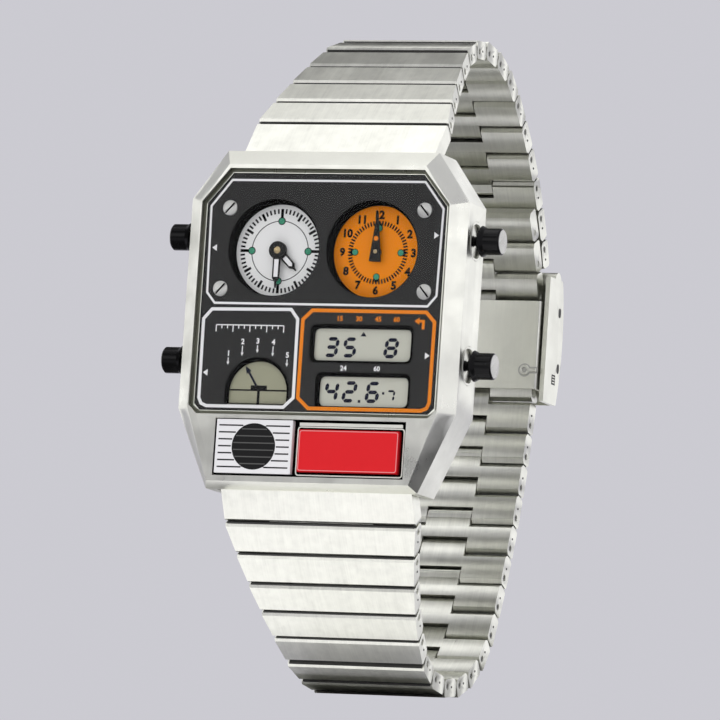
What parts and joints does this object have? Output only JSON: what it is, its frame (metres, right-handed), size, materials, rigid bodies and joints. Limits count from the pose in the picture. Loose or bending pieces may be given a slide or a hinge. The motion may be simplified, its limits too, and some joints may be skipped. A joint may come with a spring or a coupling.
{
  "type": "analogue and digital wristwatch",
  "caption": "Steel wristwatch with an octagonal case, hand dials, display windows, side pushers and a tapering link bracelet with a folding clasp.",
  "frame": {"origin": "middle of the outer face of the case back", "axes": "+X to the 3 o'clock side, +Y from the case back towards the wrist, +Z to 12 o'clock"},
  "size_m": [0.0438, 0.0595, 0.0835],
  "materials": {
    "case_steel": "brushed flats with polished bevels",
    "band_steel": "brushed lengthwise across each link",
    "crystal_glass": "clear flat crystal",
    "dial_black": "satin dark grey",
    "screw_steel": "bright slotted heads",
    "dial_white": "matt white print ground",
    "dial_orange": "matt orange print ground",
    "lcd_grey": "grey display glass",
    "hand_black": "black lacquer",
    "grille_white": "white enamel with black lines",
    "plate_red": "glossy red enamel",
    "frame_grey": "moulded holder",
    "board_green": "fibreglass board",
    "cell_steel": "plated steel can",
    "movement_brass": "brass plates",
    "gasket_rubber": "black rubber",
    "pusher_black": "black coated cap with a bare end"
  },
  "bodies": {
    "case": {"case_body": "case_steel", "crystal": "crystal_glass", "case_back": "case_steel", "back_gasket": "gasket_rubber", "back_screws": "screw_steel", "dial_plate": "dial_black", "dial_screws": "screw_steel", "time_dial": "dial_white", "zone_dial": "dial_orange", "lcd_panels": "lcd_grey", "grille_plate": "grille_white", "colour_plate": "plate_red", "module_frame": "frame_grey", "circuit_board": "board_green", "battery": "cell_steel", "hand_movements": "movement_brass"},
    "time_minute_hand": {"time_minute_hand": "hand_black"},
    "time_hour_hand": {"time_hour_hand": "hand_black"},
    "zone_minute_hand": {"zone_minute_hand": "hand_black"},
    "zone_hour_hand": {"zone_hour_hand": "hand_black"},
    "pusher_right_upper": {"pusher_right_upper": "pusher_black"},
    "pusher_right_lower": {"pusher_right_lower": "pusher_black"},
    "pusher_left_upper": {"pusher_left_upper": "pusher_black"},
    "pusher_left_lower": {"pusher_left_lower": "pusher_black"},
    "upper_link_01": {"upper_link_01": "band_steel"},
    "upper_links_02_03": {"upper_links_02_03": "band_steel"},
    "upper_links_04_05": {"upper_links_04_05": "band_steel"},
    "upper_link_06": {"upper_link_06": "band_steel"},
    "upper_link_07": {"upper_link_07": "band_steel"},
    "upper_link_08": {"upper_link_08": "band_steel"},
    "upper_link_09": {"upper_link_09": "band_steel"},
    "upper_link_10": {"upper_link_10": "band_steel"},
    "upper_link_11": {"upper_link_11": "band_steel"},
    "upper_link_12": {"upper_link_12": "band_steel"},
    "upper_links_13_14": {"upper_links_13_14": "band_steel"},
    "upper_link_15": {"upper_link_15": "band_steel"},
    "upper_link_16": {"upper_link_16": "band_steel"},
    "cover": {"clasp_cover": "band_steel"},
    "lower_link_01": {"lower_link_01": "band_steel"},
    "lower_links_02_03": {"lower_links_02_03": "band_steel"},
    "lower_links_04_05": {"lower_links_04_05": "band_steel"},
    "lower_link_06": {"lower_link_06": "band_steel"},
    "lower_link_07": {"lower_link_07": "band_steel"},
    "lower_link_08": {"lower_link_08": "band_steel"},
    "lower_link_09": {"lower_link_09": "band_steel"},
    "lower_link_10": {"lower_link_10": "band_steel"},
    "lower_link_11": {"lower_link_11": "band_steel"},
    "lower_link_12": {"lower_link_12": "band_steel"},
    "lower_link_13": {"lower_link_13": "band_steel"},
    "lower_links_14_15": {"lower_links_14_15": "band_steel"},
    "lower_links_16_17": {"lower_links_16_17": "band_steel"},
    "lower_links_18_19": {"lower_links_18_19": "band_steel"},
    "lower_link_20": {"lower_link_20": "band_steel"},
    "sleeve": {"clasp_sleeve": "band_steel", "clasp_lock_plate": "band_steel", "gripped_links": "band_steel"},
    "tail_link_1": {"tail_link_1": "band_steel"},
    "tail_link_2": {"tail_link_2": "band_steel"},
    "tail_link_3": {"tail_link_3": "band_steel"}
  },
  "joints": [
    {"name": "time_minute_turn", "type": "hinge", "parent": "case", "child": "time_minute_hand", "pos_m": [-0.0065, -0.0065, 0.0087], "axis": [0, 1, 0], "continuous": true},
    {"name": "time_hour_turn", "type": "hinge", "parent": "case", "child": "time_hour_hand", "pos_m": [-0.0065, -0.0065, 0.0087], "axis": [0, 1, 0], "continuous": true},
    {"name": "zone_minute_turn", "type": "hinge", "parent": "case", "child": "zone_minute_hand", "pos_m": [0.0065, -0.0065, 0.0087], "axis": [0, 1, 0], "continuous": true},
    {"name": "zone_hour_turn", "type": "hinge", "parent": "case", "child": "zone_hour_hand", "pos_m": [0.0065, -0.0065, 0.0087], "axis": [0, 1, 0], "continuous": true},
    {"name": "pusher_right_upper_press", "type": "slide", "parent": "case", "child": "pusher_right_upper", "axis": [-1, 0, 0], "range_m": [0, 0.0008], "stiffness_N_per_m": 400, "springref_m": -0.0008},
    {"name": "pusher_right_lower_press", "type": "slide", "parent": "case", "child": "pusher_right_lower", "axis": [-1, 0, 0], "range_m": [0, 0.0008], "stiffness_N_per_m": 400, "springref_m": -0.0008},
    {"name": "pusher_left_upper_press", "type": "slide", "parent": "case", "child": "pusher_left_upper", "axis": [1, 0, 0], "range_m": [0, 0.0008], "stiffness_N_per_m": 400, "springref_m": -0.0008},
    {"name": "pusher_left_lower_press", "type": "slide", "parent": "case", "child": "pusher_left_lower", "axis": [1, 0, 0], "range_m": [0, 0.0008], "stiffness_N_per_m": 400, "springref_m": -0.0008},
    {"name": "upper_link_01_hinge", "type": "hinge", "parent": "case", "child": "upper_link_01", "pos_m": [0, -0.004, 0.0199], "axis": [1, 0, 0], "range_deg": [0, 39.39]},
    {"name": "upper_links_02_03_hinge", "type": "hinge", "parent": "upper_link_01", "child": "upper_links_02_03", "pos_m": [0, 0.00076, 0.0257], "axis": [1, 0, 0], "range_deg": [0, 6]},
    {"name": "upper_links_04_05_hinge", "type": "hinge", "parent": "upper_links_02_03", "child": "upper_links_04_05", "pos_m": [0, 0.00699, 0.03148], "axis": [1, 0, 0], "range_deg": [0, 3.5]},
    {"name": "upper_link_06_hinge", "type": "hinge", "parent": "upper_links_04_05", "child": "upper_link_06", "pos_m": [0, 0.01387, 0.03645], "axis": [1, 0, 0], "range_deg": [0, 14.2]},
    {"name": "upper_link_07_hinge", "type": "hinge", "parent": "upper_link_06", "child": "upper_link_07", "pos_m": [0, 0.01787, 0.0379], "axis": [1, 0, 0], "range_deg": [0, 14.2]},
    {"name": "upper_link_08_hinge", "type": "hinge", "parent": "upper_link_07", "child": "upper_link_08", "pos_m": [0, 0.0221, 0.03832], "axis": [1, 0, 0], "range_deg": [0, 14.2]},
    {"name": "upper_link_09_hinge", "type": "hinge", "parent": "upper_link_08", "child": "upper_link_09", "pos_m": [0, 0.0263, 0.0377], "axis": [1, 0, 0], "range_deg": [0, 14.2]},
    {"name": "upper_link_10_hinge", "type": "hinge", "parent": "upper_link_09", "child": "upper_link_10", "pos_m": [0, 0.03022, 0.03606], "axis": [1, 0, 0], "range_deg": [0, 14.2]},
    {"name": "upper_link_11_hinge", "type": "hinge", "parent": "upper_link_10", "child": "upper_link_11", "pos_m": [0, 0.03362, 0.0335], "axis": [1, 0, 0], "range_deg": [0, 5]},
    {"name": "upper_link_12_hinge", "type": "hinge", "parent": "upper_link_11", "child": "upper_link_12", "pos_m": [0, 0.03678, 0.03067], "axis": [1, 0, 0], "range_deg": [0, 5]},
    {"name": "upper_links_13_14_hinge", "type": "hinge", "parent": "upper_link_12", "child": "upper_links_13_14", "pos_m": [0, 0.03969, 0.02756], "axis": [1, 0, 0], "range_deg": [0, 5]},
    {"name": "upper_link_15_hinge", "type": "hinge", "parent": "upper_links_13_14", "child": "upper_link_15", "pos_m": [0, 0.04463, 0.02066], "axis": [1, 0, 0], "range_deg": [0, 5]},
    {"name": "upper_link_16_hinge", "type": "hinge", "parent": "upper_link_15", "child": "upper_link_16", "pos_m": [0, 0.04663, 0.01691], "axis": [1, 0, 0], "range_deg": [0, 5]},
    {"name": "clasp_cover_open", "type": "hinge", "parent": "upper_link_16", "child": "cover", "pos_m": [0, 0.0483, 0.013], "axis": [1, 0, 0], "range_deg": [0, 95]},
    {"name": "lower_link_01_hinge", "type": "hinge", "parent": "case", "child": "lower_link_01", "pos_m": [0, -0.004, -0.0199], "axis": [1, 0, 0], "range_deg": [0, 5]},
    {"name": "lower_links_02_03_hinge", "type": "hinge", "parent": "lower_link_01", "child": "lower_links_02_03", "pos_m": [0, -0.00121, -0.02521], "axis": [1, 0, 0], "range_deg": [0, 2.5]},
    {"name": "lower_links_04_05_hinge", "type": "hinge", "parent": "lower_links_02_03", "child": "lower_links_04_05", "pos_m": [0, 0.00392, -0.03198], "axis": [1, 0, 0], "range_deg": [0, 2.5]},
    {"name": "lower_link_06_hinge", "type": "hinge", "parent": "lower_links_04_05", "child": "lower_link_06", "pos_m": [0, 0.01015, -0.03775], "axis": [1, 0, 0], "range_deg": [0, 2.5]},
    {"name": "lower_link_07_hinge", "type": "hinge", "parent": "lower_link_06", "child": "lower_link_07", "pos_m": [0, 0.01362, -0.0402], "axis": [1, 0, 0], "range_deg": [0, 2.5]},
    {"name": "lower_link_08_hinge", "type": "hinge", "parent": "lower_link_07", "child": "lower_link_08", "pos_m": [0, 0.01759, -0.04173], "axis": [1, 0, 0], "range_deg": [0, 2.5]},
    {"name": "lower_link_09_hinge", "type": "hinge", "parent": "lower_link_08", "child": "lower_link_09", "pos_m": [0, 0.02181, -0.04223], "axis": [1, 0, 0], "range_deg": [0, 2.5]},
    {"name": "lower_link_10_hinge", "type": "hinge", "parent": "lower_link_09", "child": "lower_link_10", "pos_m": [0, 0.02602, -0.04167], "axis": [1, 0, 0], "range_deg": [0, 2.5]},
    {"name": "lower_link_11_hinge", "type": "hinge", "parent": "lower_link_10", "child": "lower_link_11", "pos_m": [0, 0.02997, -0.04009], "axis": [1, 0, 0], "range_deg": [0, 2.5]},
    {"name": "lower_link_12_hinge", "type": "hinge", "parent": "lower_link_11", "child": "lower_link_12", "pos_m": [0, 0.0334, -0.03759], "axis": [1, 0, 0], "range_deg": [0, 2.5]},
    {"name": "lower_link_13_hinge", "type": "hinge", "parent": "lower_link_12", "child": "lower_link_13", "pos_m": [0, 0.03612, -0.03432], "axis": [1, 0, 0], "range_deg": [0, 2.5]},
    {"name": "lower_links_14_15_hinge", "type": "hinge", "parent": "lower_link_13", "child": "lower_links_14_15", "pos_m": [0, 0.03794, -0.03048], "axis": [1, 0, 0], "range_deg": [0, 3]},
    {"name": "lower_links_16_17_hinge", "type": "hinge", "parent": "lower_links_14_15", "child": "lower_links_16_17", "pos_m": [0, 0.04111, -0.0226], "axis": [1, 0, 0], "range_deg": [0, 3]},
    {"name": "lower_links_18_19_hinge", "type": "hinge", "parent": "lower_links_16_17", "child": "lower_links_18_19", "pos_m": [0, 0.04364, -0.01448], "axis": [1, 0, 0], "range_deg": [0, 3]},
    {"name": "lower_link_20_hinge", "type": "hinge", "parent": "lower_links_18_19", "child": "lower_link_20", "pos_m": [0, 0.04551, -0.00619], "axis": [1, 0, 0], "range_deg": [0, 3]},
    {"name": "sleeve_hinge", "type": "hinge", "parent": "lower_link_20", "child": "sleeve", "pos_m": [0, 0.0462, -0.002], "axis": [1, 0, 0], "range_deg": [0, 3]},
    {"name": "tail_link_1_hinge", "type": "hinge", "parent": "sleeve", "child": "tail_link_1", "pos_m": [0, 0.0462, 0.01075], "axis": [1, 0, 0], "range_deg": [0, 3]},
    {"name": "tail_link_2_hinge", "type": "hinge", "parent": "tail_link_1", "child": "tail_link_2", "pos_m": [0, 0.04461, 0.01469], "axis": [1, 0, 0], "range_deg": [0, 3]},
    {"name": "tail_link_3_hinge", "type": "hinge", "parent": "tail_link_2", "child": "tail_link_3", "pos_m": [0, 0.04261, 0.01844], "axis": [1, 0, 0], "range_deg": [0, 3]}
  ],
  "couplings": [
    {"joint": "time_hour_turn", "follows": "time_minute_turn", "ratio": 0.083333},
    {"joint": "zone_hour_turn", "follows": "zone_minute_turn", "ratio": 0.083333}
  ]
}
